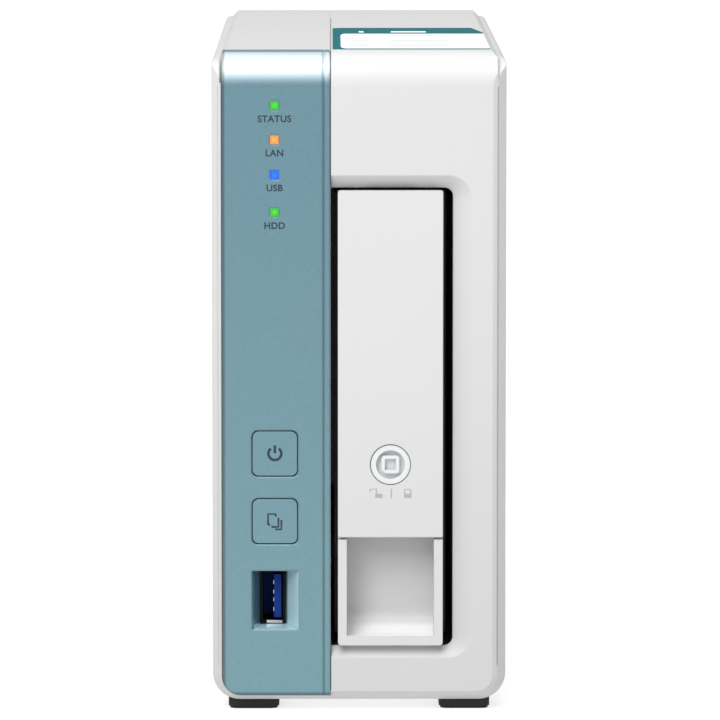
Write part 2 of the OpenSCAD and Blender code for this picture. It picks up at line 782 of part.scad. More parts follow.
module rear_panel() {
    y = [panel_back_y - back_t, panel_back_y];
    through = [y[0] - 1, y[1] + 1];
    color("gainsboro") difference() {
        along_y(y[0], y[1]) room_outline(0.2);
        // honeycomb in front of the fan
        for (row = [-6 : 6], col = [-6 : 6]) {
            cx = (col + (row % 2 == 0 ? 0 : 0.5)) * vent_pitch;
            cz = row * vent_pitch * sin(60);
            reach = norm([cx, cz]);
            if (reach < vent_reach[1] && reach > vent_reach[0])
                translate([cx, 0, fan_z + cz]) rod_y(0, 0, vent_r, through[0], through[1], $fn = 6);
        }
        for (x = [-fan_pitch, fan_pitch], z = [fan_z - fan_pitch, fan_z + fan_pitch])
            rod_y(x, z, 2.2, through[0], through[1]);
        for (x = [-boss_x, boss_x], z = boss_z) rod_y(x, z, 1.7, through[0], through[1]);
        block([main_x - 0.3, main_x + 13.8], through, [lan_z - 8.3, lan_z + 8.3]);
        block([main_x - 0.3, main_x + 15.5], through, [rear_port_z - 7, rear_port_z + 7]);
        block([main_x - 0.3, main_x + 11.3], through, [jack_z - 4.8, jack_z + 4.8]);
        rod_y(reset_x, reset_z, 1.1, through[0], through[1]);
        // security slot and air slots
        along_y(through[0], through[1]) soft_rect([20.5, 27.5], [18, 21], 1.4, 1.4);
        for (i = [0 : 8]) along_y(through[0], through[1])
            soft_rect([1, 28], [32 + i * 6, 34.6 + i * 6], 1.2, 1.2);
    }
}

module pan_screw(y0, y1, head_r, shank_r, head_t) {
    rod_y(0, 0, shank_r, y0, y1);
    difference() {
        rod_y(0, 0, head_r, y1, y1 + head_t);
        translate([0, y1 + 0.6, 0]) {
            block([-head_r * 0.6, head_r * 0.6], [0, 3], [-0.35, 0.35]);
            block([-0.35, 0.35], [0, 3], [-head_r * 0.6, head_r * 0.6]);
        }
    }
}

module rear_screws() {
    color("silver") for (sx = [-1, 1], z = boss_z) translate([sx * boss_x, 0, z])
        pan_screw(panel_back_y - back_t - 7, panel_back_y, 2.7, screw_r - 0.05, 1.6);
}

module fan_screws() {
    color("silver") for (sx = [-1, 1], sz = [-1, 1]) translate([sx * fan_pitch, 0, fan_z + sz * fan_pitch])
        pan_screw(panel_back_y - back_t - 8, panel_back_y, 3.4, 1.95, 1.8);
}

module fan_frame() {
    h = fan_size / 2;
    hub_y = fan_y[1] - 3;
    color("#1a1a1a") difference() {
        union() {
            difference() {
                translate([0, 0, fan_z]) along_y(fan_y[0], fan_y[1]) soft_rect([-h, h], [-h, h], 3, 3);
                rod_y(0, fan_z, h - 1.4, fan_y[0] - 1, fan_y[1] + 1, $fn = 96);
            }
            for (a = [0, 90, 180, 270]) translate([0, 0, fan_z]) rotate([0, a + 45, 0])
                block([-1.3, 1.3], [hub_y + 0.6, fan_y[1] - 0.2], [10, h - 0.6]);
            rod_y(0, fan_z, 13, hub_y + 0.3, fan_y[1] - 0.2);
            // corner lugs that take the screws
            for (x = [-fan_pitch, fan_pitch], z = [fan_z - fan_pitch, fan_z + fan_pitch])
                rod_y(x, z, 4, fan_y[0], fan_y[1]);
        }
        for (x = [-fan_pitch, fan_pitch], z = [fan_z - fan_pitch, fan_z + fan_pitch])
            rod_y(x, z, 2.05, fan_y[0] - 1, fan_y[1] + 1);
        rod_y(0, fan_z, 1.05, hub_y - 1, fan_y[1] - 1);
    }
}

module fan_rotor() {
    hub_y = [fan_y[0] + 1.2, fan_y[1] - 3.4];
    color("#222222") translate([0, 0, fan_z]) {
        rod_y(0, 0, 12.5, hub_y[0], hub_y[1]);
        rod_y(0, 0, 1, hub_y[1] - 1, fan_y[1] - 1.4);
        for (i = [0 : blade_count - 1]) rotate([0, i * 360 / blade_count, 0])
            intersection() {
                translate([0, (hub_y[0] + hub_y[1]) / 2, 0]) rotate([0, 0, 38])
                    block([-0.7, 0.7], [-8, 8], [11.5, 27.4]);
                rod_y(0, 0, 27.2, hub_y[0] + 0.4, hub_y[1] - 0.2, $fn = 96);
            }
    }
}

// Fan lead: a short round lead from the fan's corner to its header on the main board
fan_route = [[-21.5, 90.2, 101], [-21.5, 88.6, 101], [-21.5, 87, 100.6], [-21.5, 85, 99.4],
             [-21.5, 83, 97.4], [-21.5, 81.4, 95], [-21.5, 80.4, 92.4], [-21.5, 80, 90], [-21.5, 80, 88]];

module lead(route, r) {
    sides = 8;
    n = len(route);
    function along(i) = let (d = route[min(i + 1, n - 1)] - route[max(i - 1, 0)]) d / norm(d);
    pts = [for (i = [0 : n - 1]) let (t = along(i), u = [1, 0, 0], v = cross(t, u))
        for (k = [0 : sides - 1]) route[i] + r * (cos(k * 360 / sides) * u + sin(k * 360 / sides) * v)];
    rings = [for (i = [0 : n - 2], k = [0 : sides - 1])
        let (a = i * sides, m = (k + 1) % sides) [a + sides + k, a + sides + m, a + m, a + k]];
    ends = [[for (k = [0 : sides - 1]) k], [for (k = [sides - 1 : -1 : 0]) (n - 1) * sides + k]];
    polyhedron(points = pts, faces = concat(rings, ends), convexity = 4);
}

module fan_cable() {
    color("#101010") lead(fan_route, 0.9);
    color("ivory") block([main_x, main_x + 6], [77.2, 82.8], [84.8, 88]);
}

module ribbon_cable() {
    y = panel_board_y + board_t;
    color("whitesmoke") {
        block([main_x + 1.5, main_x + 9.5], [y, y + 0.2], [43, 52]);
        block([main_x + 1.3, main_x + 1.5], [y, y + 12], [43, 52]);
        block([main_x, main_x + 1.3], [y + 10, y + 14], [42.5, 52.5]);
    }
}

// ---------- drive tray ----------

module mount_hole(y, z, r) rod_x(y, z, r, carrier_x[0] - 1, carrier_x[0] + 3);

module tray_carrier() {
    floor_x = [carrier_x[0], carrier_x[0] + 1.4];
    c = tray_cx;
    color("#2b2b2b") difference() {
        union() {
            block(floor_x, carrier_y, carrier_z);
            block(carrier_x, [carrier_y[0], carrier_y[0] + 1.5], carrier_z);
            for (s = [-1, 1]) {
                in_z = drive_cz + s * drive_half;
                out_z = drive_cz + s * (carrier_z[1] - carrier_z[0]) / 2;
                z_plate = s > 0 ? [in_z, in_z + 2] : [in_z - 2, in_z];
                z_run = s > 0 ? [in_z + 1, out_z] : [out_z, in_z - 1];
                block(carrier_x, carrier_y, z_plate);
                for (side = [-1, 1]) {
                    x_run = c + side * (groove_w / 2 + runner_w / 2);
                    block([x_run - runner_w / 2, x_run + runner_w / 2], carrier_y, z_run);
                }
            }
        }
        // air windows in the floor and slots in the front wall
        for (i = [0 : 3])
            translate([carrier_x[0], carrier_y[0] + 14 + i * 36, drive_cz])
                block([-1, 2], [0, 22], [-20, 14]);
        for (i = [0 : 3])
            block([c - 8, c + 8], [carrier_y[0] - 1, carrier_y[0] + 2], [81 + i * 8, 86 + i * 8]);
        for (y = large_drive_y, z = [drive_cz - 47.625, drive_cz + 47.625]) mount_hole(y, z, 1.9);
        for (y = small_drive_y, z = [small_drive_z - 30.86, small_drive_z + 30.86]) mount_hole(y, z, 1.6);
        for (z = bezel_screw_z) rod_y(c, z, 1.3, carrier_y[0] - 1, carrier_y[0] + 3);
    }
}

module tray_bezel() {
    in_x = [tray_x[0] + scoop_wall, tray_x[1] - scoop_wall];
    foot_y0 = scoop_deep_y - scoop_r;
    foot_z0 = scoop_z + scoop_r;
    color("white") difference() {
        union() {
            along_y(frame_y, bezel_back_y) soft_rect(tray_x, [tray_z[0], lever_z - 0.6], 0.9, 0.3);
            block(tray_x, [y_front + 1.8, bezel_back_y], [lever_z - 2, pivot_z - 0.3]);
            // ears for the hinge pin
            rod_x(pivot_y, pivot_z, ear_r, tray_x[0], tray_x[1]);
            block(tray_x, [pivot_y, pivot_y + 4], [pivot_z - 1, pivot_z + 1]);
        }
        // finger recess: an upright back with a rounded foot
        block(in_x, [y_front - 5, foot_y0], [scoop_z, lever_z + 9]);
        block(in_x, [y_front - 5, scoop_deep_y], [foot_z0, lever_z + 9]);
        rod_x(foot_y0, foot_z0, scoop_r, in_x[0], in_x[1]);
        // room behind the lever for its ribs and the lock
        block(in_x, [y_front - 1, bezel_back_y - 2.4], [lever_z + 9, tray_z[1] + 1]);
        block([tray_cx - 8, tray_cx + 8], [y_front, bezel_back_y + 1], [lock_z - 8, lock_z + 8]);
        for (i = [0 : 3])
            block([tray_cx - 8, tray_cx + 8], [y_front, bezel_back_y + 1], [81 + i * 8, 86 + i * 8]);
        rod_x(pivot_y, pivot_z, pin_r, tray_x[0] - 1, tray_x[1] + 1);
        for (z = bezel_screw_z) rod_y(tray_cx, z, screw_r, y_front + 8, bezel_back_y + 1);
    }
}

module tray_screws() {
    head_y = bezel_back_y - 2.4;
    color("silver") for (z = bezel_screw_z) {
        rod_y(tray_cx, z, screw_r - 0.05, head_y, carrier_y[0] + 1.5);
        difference() {
            rod_y(tray_cx, z, 2.2, head_y - 1.4, head_y);
            rod_y(tray_cx, z, 1, head_y - 2, head_y - 0.7, $fn = 6);
        }
    }
}

module lever_pin() color("silver") rod_x(pivot_y, pivot_z, pin_r, tray_x[0] + 0.2, tray_x[1] - 0.2);

module tray_lever() {
    in_x = [tray_x[0] + scoop_wall + 0.3, tray_x[1] - scoop_wall - 0.3];
    back_y = lever_y + lever_t;
    rib_z = lever_z + 9.4;
    color("white") difference() {
        union() {
            along_y(lever_y, back_y) soft_rect(tray_x, [lever_z, tray_z[1]], 0.4, 0.8);
            for (x = [in_x[0], in_x[1] - 1.2])
                block([x, x + 1.2], [back_y - 0.1, back_y + 2.6], [rib_z, pivot_z]);
            for (z = [rib_z, 78, 96, 114]) block(in_x, [back_y - 0.1, back_y + 1.6], [z, z + 1.2]);
            rod_y(tray_cx, lock_z, lock_r + 1.4, back_y - 0.1, back_y + 5.4);
            // knuckles, with the arms that press the tray out of its connector
            for (x = [in_x[0], in_x[1] - 4.6]) {
                rod_x(pivot_y, pivot_z, ear_r, x, x + 4.6);
                block([x, x + 4.6], [back_y - 0.5, pivot_y], [pivot_z - 1.5, pivot_z + 1.2]);
                block([x + 1.4, x + 3.2], [pivot_y + 1, pivot_y + 6], [pivot_z - 0.6, pivot_z + 1.1]);
            }
        }
        rod_x(pivot_y, pivot_z, pin_r + pin_run, in_x[0] - 1, in_x[1] + 1);
        // pockets that clear the ears
        for (x = [tray_x[0] - 1, in_x[1]])
            rod_x(pivot_y, pivot_z, ear_r + 0.3, x, x + in_x[0] - tray_x[0] + 1);
        rod_y(tray_cx, lock_z, lock_r + lock_run, lever_y - 1, back_y + 6);
    }
}

module lock_core() {
    k = key_w / 2;
    h = key_hole / 2;
    color("whitesmoke") translate([tray_cx, 0, lock_z]) {
        difference() {
            rod_y(0, 0, lock_r, lever_y + 0.1, lever_y + lever_t + 5.6);
            rod_y(0, 0, 3.65, lever_y - 1, lever_y + 1.6);
        }
        // raised square key seat with a pointer notch in one corner
        difference() {
            along_y(lever_y + 0.35, lever_y + 1.6) difference() {
                soft_rect([-k, k], [-k, k], 0.9, 0.9);
                square(2 * h, center = true);
            }
            translate([-k, 0, -k]) rotate([0, 45, 0])
                block([-0.7, 0.7], [lever_y, lever_y + 2], [-0.7, 0.7]);
        }
    }
}

module lock_cam() {
    y = lever_y + lever_t + 5.6;
    color("silver") translate([tray_cx, 0, lock_z]) rotate([0, 45, 0])
        block([-1.8, 1.8], [y, y + 1.2], [-7.4, 1.8]);
}

// ---------- assembly ----------

left_shell();
right_shell();
front_panel();
top_label();
rubber_feet();
lens(led_z[0], "lime");  // lens_status
lens(led_z[1], "orange");  // lens_network
lens(led_z[2], "dodgerblue");  // lens_port
lens(led_z[3], "lime");  // lens_drive
panel_board();
panel_screws();
indicator_leds();
switch_bodies();
button_cap(power_z);  // power_button
switch_plunger(power_z);  // power_plunger
button_cap(copy_z);  // copy_button
switch_plunger(copy_z);  // copy_plunger
front_port_shell();
front_port_tongue();
front_port_contacts();
drive_cage();
rail(bay_z[1], -1);  // upper_rail
rail(bay_z[0], 1);  // lower_rail
cage_screws();
main_board();
board_standoffs();
board_screws();
processor();
heatsink();
memory_chips();
small_chips();
capacitors();
inductors();
cell_holder();
coin_cell();
network_port();
network_contacts();
rear_port_shell();
rear_port_tongues();
power_jack();
jack_pin();
reset_switch();
reset_plunger();
riser_slot();
backplane_board();
drive_connector();
rear_panel();
rear_screws();
fan_frame();
fan_rotor();
fan_screws();
fan_cable();
ribbon_cable();
tray_carrier();
tray_bezel();
tray_screws();
lever_pin();
tray_lever();
lock_core();
lock_cam();
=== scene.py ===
import bpy
import math
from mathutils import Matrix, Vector


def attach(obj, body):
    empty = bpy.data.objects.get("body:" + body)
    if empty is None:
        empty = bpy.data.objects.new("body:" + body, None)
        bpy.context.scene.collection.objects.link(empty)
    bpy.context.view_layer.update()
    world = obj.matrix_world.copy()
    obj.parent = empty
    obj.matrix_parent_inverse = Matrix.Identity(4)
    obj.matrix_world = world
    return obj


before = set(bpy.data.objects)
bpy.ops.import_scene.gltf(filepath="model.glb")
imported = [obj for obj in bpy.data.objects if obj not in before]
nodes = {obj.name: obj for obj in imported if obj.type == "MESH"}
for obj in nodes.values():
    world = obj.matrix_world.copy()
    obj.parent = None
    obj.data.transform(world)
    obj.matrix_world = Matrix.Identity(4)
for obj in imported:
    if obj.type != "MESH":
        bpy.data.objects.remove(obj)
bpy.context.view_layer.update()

print("frame loaded:", len(nodes), "nodes")

frontY = -109.0          # flat front of the casing, mm
panelX = -21.5           # middle of the buttons and windows
trayX = 8.0              # middle of the tray
lockZ = 63.6


class Wire:
    # a socket with arithmetic
    def __init__(self, finish, socket):
        self.finish = finish
        self.socket = socket

    def calc(self, operation, *values):
        return self.finish.node("ShaderNodeMath", {"operation": operation}, dict(enumerate(values)))

    def __add__(self, other):
        return self.calc("ADD", self, other)

    def __radd__(self, other):
        return self.calc("ADD", other, self)

    def __sub__(self, other):
        return self.calc("SUBTRACT", self, other)

    def __rsub__(self, other):
        return self.calc("SUBTRACT", other, self)

    def __mul__(self, other):
        return self.calc("MULTIPLY", self, other)

    def __rmul__(self, other):
        return self.calc("MULTIPLY", other, self)

    def __truediv__(self, other):
        return self.calc("DIVIDE", self, other)

    def __rtruediv__(self, other):
        return self.calc("DIVIDE", other, self)

    def __pow__(self, other):
        return self.calc("POWER", self, other)

    def __lt__(self, other):
        return self.calc("LESS_THAN", self, other)

    def __gt__(self, other):
        return self.calc("GREATER_THAN", self, other)

    def __abs__(self):
        return self.calc("ABSOLUTE", self)

    def __mod__(self, other):
        return self.calc("FLOORED_MODULO", self, other)

    def highest(self, other):
        return self.calc("MAXIMUM", self, other)

    def between(self, low, high):
        return (self > low) * (self < high)


class Finish:
    # one material, built node by node
    def __init__(self, name):
        self.material = bpy.data.materials.new(name)
        self.material.use_nodes = True
        self.tree = self.material.node_tree
        self.tree.nodes.clear()
        self.spot = None

    def node(self, kind, settings=None, inputs=None, out=0):
        made = self.tree.nodes.new(kind)
        for key, value in (settings or {}).items():
            setattr(made, key, value)
        for key, value in (inputs or {}).items():
            if isinstance(value, Wire):
                self.tree.links.new(value.socket, made.inputs[key])
            else:
                made.inputs[key].default_value = value
        return Wire(self, made.outputs[out])

    def place(self):
        if self.spot is None:
            self.spot = self.node("ShaderNodeTexCoord", out=3)
        return self.spot

    def axis(self, index):
        return self.node("ShaderNodeSeparateXYZ", None, {0: self.place()}, out=index)

    def stretched(self, scale):
        return self.node("ShaderNodeMapping", None, {"Vector": self.place(), "Scale": scale})

    def noise(self, scale, detail=2.0, rough=0.5, where=None):
        inputs = {"Vector": where or self.place(), "Scale": scale, "Detail": detail, "Roughness": rough}
        return self.node("ShaderNodeTexNoise", None, inputs)

    def cells(self, scale, out=0):
        values = {"Vector": self.place(), "Scale": scale}
        return self.node("ShaderNodeTexVoronoi", {"feature": "F1"}, values, out)

    def blend(self, factor, first, second, mode="MIX"):
        return self.node("ShaderNodeMix", {"data_type": "RGBA", "blend_type": mode},
                         {0: factor, 6: first, 7: second}, 2)

    def soft(self, value, low, high):
        return self.node("ShaderNodeMapRange", {"interpolation_type": "SMOOTHSTEP"},
                         {"Value": value, "From Min": low, "From Max": high})

    def relief(self, height, distance, rounding=0.0004, strength=1.0):
        edge = self.node("ShaderNodeBevel", {"samples": 4}, {"Radius": rounding})
        return self.node("ShaderNodeBump", None,
                         {"Height": height, "Distance": distance, "Strength": strength, "Normal": edge})

    def surface(self, **sockets):
        values = {key.replace("_", " "): value for key, value in sockets.items()}
        shader = self.node("ShaderNodeBsdfPrincipled", None, values)
        output = self.tree.nodes.new("ShaderNodeOutputMaterial")
        self.tree.links.new(shader.socket, output.inputs["Surface"])
        return self.material


def tone(red, green, blue):
    # screen colour, 0 to 255, as a shader colour
    made = [(v / 255 / 12.92) if v <= 10 else ((v / 255 + 0.055) / 1.055) ** 2.4 for v in (red, green, blue)]
    return (*made, 1.0)


def shade(colour, factor):
    return (*[min(1.0, v * factor) for v in colour[:3]], 1.0)


def mouldedPlastic(name, colour, rough=0.42, grain=2600, depth=0.000012, rounding=0.0005, spread=0.04,
                   coat=0.0, foot=1.0, bright=None):
    # injection moulded: fine grain, faint flow shading, dulled patches, and painted shade that darkens the colour
    # towards the foot
    f = Finish(name)
    fine = f.noise(grain, 3.0, 0.6)
    flow = f.noise(18, 3.0, 0.55)
    smudge = f.soft(f.noise(60, 4.0, 0.6), 0.45, 0.75)
    base = f.blend(flow, shade(colour, 1 - spread), shade(colour, 1 + spread * 0.5))
    base = f.blend(fine * 0.12, base, shade(colour, 0.8))
    # painted shade: from 0.16 m downwards the colour darkens towards the foot, by the factor foot
    if foot < 1:
        paintedShade = f.blend(1.0, base, (foot, foot, foot, 1), "MULTIPLY")
        base = f.blend(f.soft(f.axis(2), 0.16, -0.03), base, paintedShade)
    if bright:
        # painted highlight: lighter below the given height, behind the given depth
        paintedHighlight = f.soft(f.axis(2) * 1000, bright["z"][1], bright["z"][0]) * (f.axis(1) * 1000 > bright["y"])
        paintedHighlight = paintedHighlight * (f.axis(0) * 1000).between(*bright["x"])
        base = f.blend(paintedHighlight * bright["share"], base, bright["colour"])
    return f.surface(Base_Color=base, Roughness=rough + smudge * 0.06 + fine * 0.05, Coat_Weight=coat,
                     Normal=f.relief(fine, depth, rounding))


tealLook = {
    "top": tone(83, 122, 136), "low": tone(93, 133, 143), "flake": tone(150, 190, 200),
    "metal": 0.36, "rough": 0.34, "gloss": 0.8, "coat": 0.6,
    "paintedRollHighlight": tone(232, 242, 244), "paintedRollHighlightShare": 0.52, "roll": (160.2, 164.6, 168.3, 168.8),
    "left": -34.9, "foot": 4.1, "rim": 0.9, "paintedRimShadeTone": 0.5,
    "mouthX": (-26.9, -14.8), "mouthZ": (21.1, 36.2), "lip": 1.0, "wallIn": 2.5,
    "paintedMouthLight": tone(192, 226, 236), "paintedMouthLightShare": 0.8, "deep": tone(30, 62, 74), "paintedMouthShadeShare": 0.5}


def tealPaint(name, rounding=0.0006):
    # metallic paint: bright flake in the body colour, and painted light that makes the body lighter towards the
    # foot
    f = Finish(name)
    # painted light: the body colour is lighter low down than at the top
    height = f.soft(f.axis(2), 0.0, 0.165)
    body = f.blend(height, tealLook["low"], tealLook["top"])
    flake = f.cells(7000, out=1)
    glint = f.node("ShaderNodeSeparateColor", None, {0: flake})
    cloud = f.noise(420, 2.0, 0.6)
    body = f.blend((glint ** 5) * 0.22, body, tealLook["flake"])
    body = f.blend(cloud * 0.1, body, shade(tealLook["top"], 0.72))
    # painted highlight: the colour turns near white and less metallic where the panel rolls over
    z, roll = f.axis(2) * 1000, tealLook["roll"]
    paintedRollHighlight = f.soft(z, roll[0], roll[1]) * (1 - f.soft(z, roll[2], roll[3])) * tealLook["paintedRollHighlightShare"]
    body = f.blend(paintedRollHighlight, body, tealLook["paintedRollHighlight"])
    metal = (tealLook["metal"] + glint * 0.1) * (1 - paintedRollHighlight)
    # painted shade: the rolled rim along the left edge and the foot is darker
    x, y, rim = f.axis(0) * 1000, f.axis(1) * 1000, tealLook["rim"]
    paintedRimShade = f.soft(x, tealLook["left"] + rim, tealLook["left"] + rim * 0.6)
    paintedRimShade = paintedRimShade.highest(f.soft(z, tealLook["foot"] + rim, tealLook["foot"] + rim * 0.6))
    paintedShade = f.blend(1.0, body, (tealLook["paintedRimShadeTone"],) * 3 + (1,), "MULTIPLY")
    body = f.blend(paintedRimShade, body, paintedShade)
    # flared mouth of the port: painted light on its right and lower walls, painted shade on its left wall
    mouthX, mouthZ = tealLook["mouthX"], tealLook["mouthZ"]
    middleX, inner = (mouthX[0] + mouthX[1]) / 2, tealLook["wallIn"]
    lip = mouthZ[0] + tealLook["lip"]
    sunk = (y > frontY + 0.15) * x.between(*mouthX) * z.between(*mouthZ)
    paintedMouthLight = sunk * (x > middleX + inner).highest(z < lip)
    deep = sunk * (x < middleX - inner) * (z > lip)
    body = f.blend(paintedMouthLight * tealLook["paintedMouthLightShare"], body, tealLook["paintedMouthLight"])
    body = f.blend(deep * tealLook["paintedMouthShadeShare"], body, tealLook["deep"])
    return f.surface(Base_Color=body, Metallic=metal, Specular_IOR_Level=tealLook["gloss"],
                     Roughness=tealLook["rough"] + cloud * 0.06, Coat_Weight=tealLook["coat"], Coat_Roughness=0.3,
                     Normal=f.relief(cloud + glint * 0.3, 0.000004, rounding))


def powderCoat(name, colour, rough=0.5, depth=0.00003, grain=1500, rounding=0.0003):
    f = Finish(name)
    peel = f.noise(grain, 2.0, 0.5)
    rub = f.soft(f.noise(90, 5.0, 0.65), 0.5, 0.7)
    base = f.blend(peel * 0.4, colour, shade(colour, 1.35))
    return f.surface(Base_Color=base, Roughness=rough - rub * 0.08 + peel * 0.1,
                     Normal=f.relief(peel, depth, rounding))


def drawnSteel(name, colour, along=(1, 60, 60), rough=0.26, rounding=0.00015):
    # plated sheet: streaks along the drawing direction, faint tarnish
    f = Finish(name)
    streak = f.noise(160, 4.0, 0.6, f.stretched(along))
    tarnish = f.soft(f.noise(130, 4.0, 0.6), 0.4, 0.8)
    base = f.blend(streak * 0.5, colour, shade(colour, 0.72))
    base = f.blend(tarnish * 0.25, base, shade(colour, 0.6))
    return f.surface(Base_Color=base, Metallic=1.0, Roughness=rough + streak * 0.14 + tarnish * 0.08,
                     Normal=f.relief(streak, 0.000004, rounding))


def softRubber(name):
    f = Finish(name)
    grain = f.noise(2200, 3.0, 0.7)
    dust = f.soft(f.noise(140, 4.0, 0.7), 0.5, 0.8)
    base = f.blend(dust * 0.3, tone(7, 7, 8), tone(34, 34, 34))
    return f.surface(Base_Color=base, Roughness=0.72 + dust * 0.12, Normal=f.relief(grain, 0.00003, 0.0005))


def lightWindow(name, centreZ, deep, bright):
    # tinted window, hottest in front of its diode
    f = Finish(name)
    dx = f.axis(0) - panelX / 1000
    dz = f.axis(2) - centreZ / 1000
    square = abs(dx).highest(abs(dz)) * 1000
    core = 1 - f.soft(square, 0.15, 0.9)
    lit = f.blend(core, deep, bright)
    milk = f.noise(900, 2.0, 0.5)
    return f.surface(Base_Color=f.blend(milk * 0.3, deep, bright), Roughness=0.22 + milk * 0.1,
                     Emission_Color=lit, Emission_Strength=0.4, Normal=f.relief(milk, 0.00001, 0.0002))


def circuitBoard(name, across=0, up=2):
    # solder mask over copper: tracks in two directions, plated holes with their pads
    f = Finish(name)
    u, v = f.axis(across) * 1000, f.axis(up) * 1000
    fine = f.noise(70, 2.0, 0.5)
    bend = f.noise(26, 0.0, 0.5) * 9
    trackA = (abs(((u + bend) % 1.6) - 0.8) < 0.16) * (f.noise(38, 0.0, 0.5) > 0.52)
    trackB = (abs(((v + bend) % 1.6) - 0.8) < 0.16) * (f.noise(33, 0.0, 0.5) < 0.46)
    track = trackA.highest(trackB)
    spot = f.cells(330)
    via = (spot < 0.11) * (spot > 0.04)
    # painted shade: the middle of each plated hole is near black
    paintedHoleShade = spot < 0.04
    colour = f.blend(track, tone(6, 58, 36), tone(14, 88, 55))
    colour = f.blend(fine * 0.25, colour, tone(4, 42, 30))
    colour = f.blend(via, colour, tone(205, 190, 140))
    colour = f.blend(paintedHoleShade, colour, tone(8, 10, 8))
    return f.surface(Base_Color=colour, Metallic=via * 0.9, Roughness=0.34 + fine * 0.12 - via * 0.1,
                     Coat_Weight=0.2, Normal=f.relief(track * 0.6 + via, 0.00004, 0.0001))


def chipBody(name):
    # matt moulded package with frosted patches of laser grey
    f = Finish(name)
    grain = f.noise(2800, 2.0, 0.6)
    frost = f.soft(f.noise(220, 1.0, 0.4), 0.5, 0.62)
    base = f.blend(frost * 0.2, tone(30, 31, 33), tone(92, 92, 92))
    return f.surface(Base_Color=base, Roughness=0.62 + grain * 0.12, Normal=f.relief(grain, 0.00002, 0.00015))


def finnedAluminium(name):
    f = Finish(name)
    streak = f.noise(240, 3.0, 0.6, f.stretched((1, 1, 30)))
    stain = f.soft(f.noise(60, 4.0, 0.6), 0.4, 0.8)
    base = f.blend(stain * 0.4 + streak * 0.3, tone(150, 154, 160), tone(108, 112, 120))
    return f.surface(Base_Color=base, Metallic=0.85, Roughness=0.38 + streak * 0.16,
                     Normal=f.relief(streak, 0.00001, 0.0001))


def labelPrint(name, sheet):
    # printed film: coloured ground, a white field with long rounded corners, rules in place of words
    f = Finish(name)
    x, y = f.axis(0) * 1000, f.axis(1) * 1000
    fibre = f.noise(1800, 3.0, 0.6)
    cornerX = (sheet["left"] + sheet["band"] + sheet["corner"][0] - x).highest(0) / sheet["corner"][0]
    middleY, halfY = (sheet["field"] + sheet["front"]) / 2, (sheet["field"] - sheet["front"]) / 2
    cornerY = (abs(y - middleY) - (halfY - sheet["corner"][1])).highest(0) / sheet["corner"][1]
    coloured = (cornerX * cornerX + cornerY * cornerY > 1).highest(abs(y - middleY) > halfY)
    rows = ((y - sheet["front"]) % 8.0).between(4.6, 6.9)
    column = x.between(sheet["left"] + 5, sheet["left"] + 30)
    broken = f.noise(95, 0.0, 0.5, f.stretched((1, 0.02, 1))) > 0.43
    rule = rows * column * broken * (y < sheet["field"] - 6) * (y > sheet["front"] + 6)
    paper = f.blend(rule * 0.8, sheet["paper"], sheet["rule"])
    title = (y - sheet["field"]).between(7, 13) * x.between(sheet["left"] + 7, sheet["left"] + 25) * broken
    ink = f.blend(fibre * 0.2, sheet["ink"], shade(sheet["ink"], 1.25))
    base = f.blend(title, f.blend(coloured, paper, ink), sheet["paper"])
    return f.surface(Base_Color=base, Roughness=0.7 + fibre * 0.1, Specular_IOR_Level=0.02,
                     Normal=f.relief(fibre, 0.000005, 0.0003))


def ratingPrint(name, sheet):
    # silver film with blank boxes and grey rules in place of ratings
    f = Finish(name)
    x, y = f.axis(0) * 1000 - sheet["x"], f.axis(1) * 1000 - sheet["y"]
    halfX, halfY = sheet["half"]
    sheen = f.noise(260, 3.0, 0.6, f.stretched((1, 40, 1)))
    border = (abs(x) > halfX - 1.2).highest(abs(y) > halfY - 1.2)
    border = border * (abs(x) < halfX - 0.7) * (abs(y) < halfY - 0.7)
    rows = (y % 3.0).between(1.0, 1.8) * (abs(y) < halfY - 3)
    broken = f.noise(120, 0.0, 0.5, f.stretched((1, 0.02, 1))) > 0.45
    rule = rows * broken * (abs(x) < halfX - 3)
    base = f.blend(border.highest(rule) * 0.8, sheet["film"], sheet["ink"])
    return f.surface(Base_Color=base, Metallic=0.3, Roughness=0.36 + sheen * 0.14,
                     Normal=f.relief(sheen, 0.000004, 0.0002))


def plainInk(name, colour, rough=0.5, gloss=0.5):
    f = Finish(name)
    wear = f.noise(3000, 2.0, 0.6)
    return f.surface(Base_Color=f.blend(wear * 0.3, colour, shade(colour, 1.3)), Roughness=rough + wear * 0.1,
                     Specular_IOR_Level=gloss)


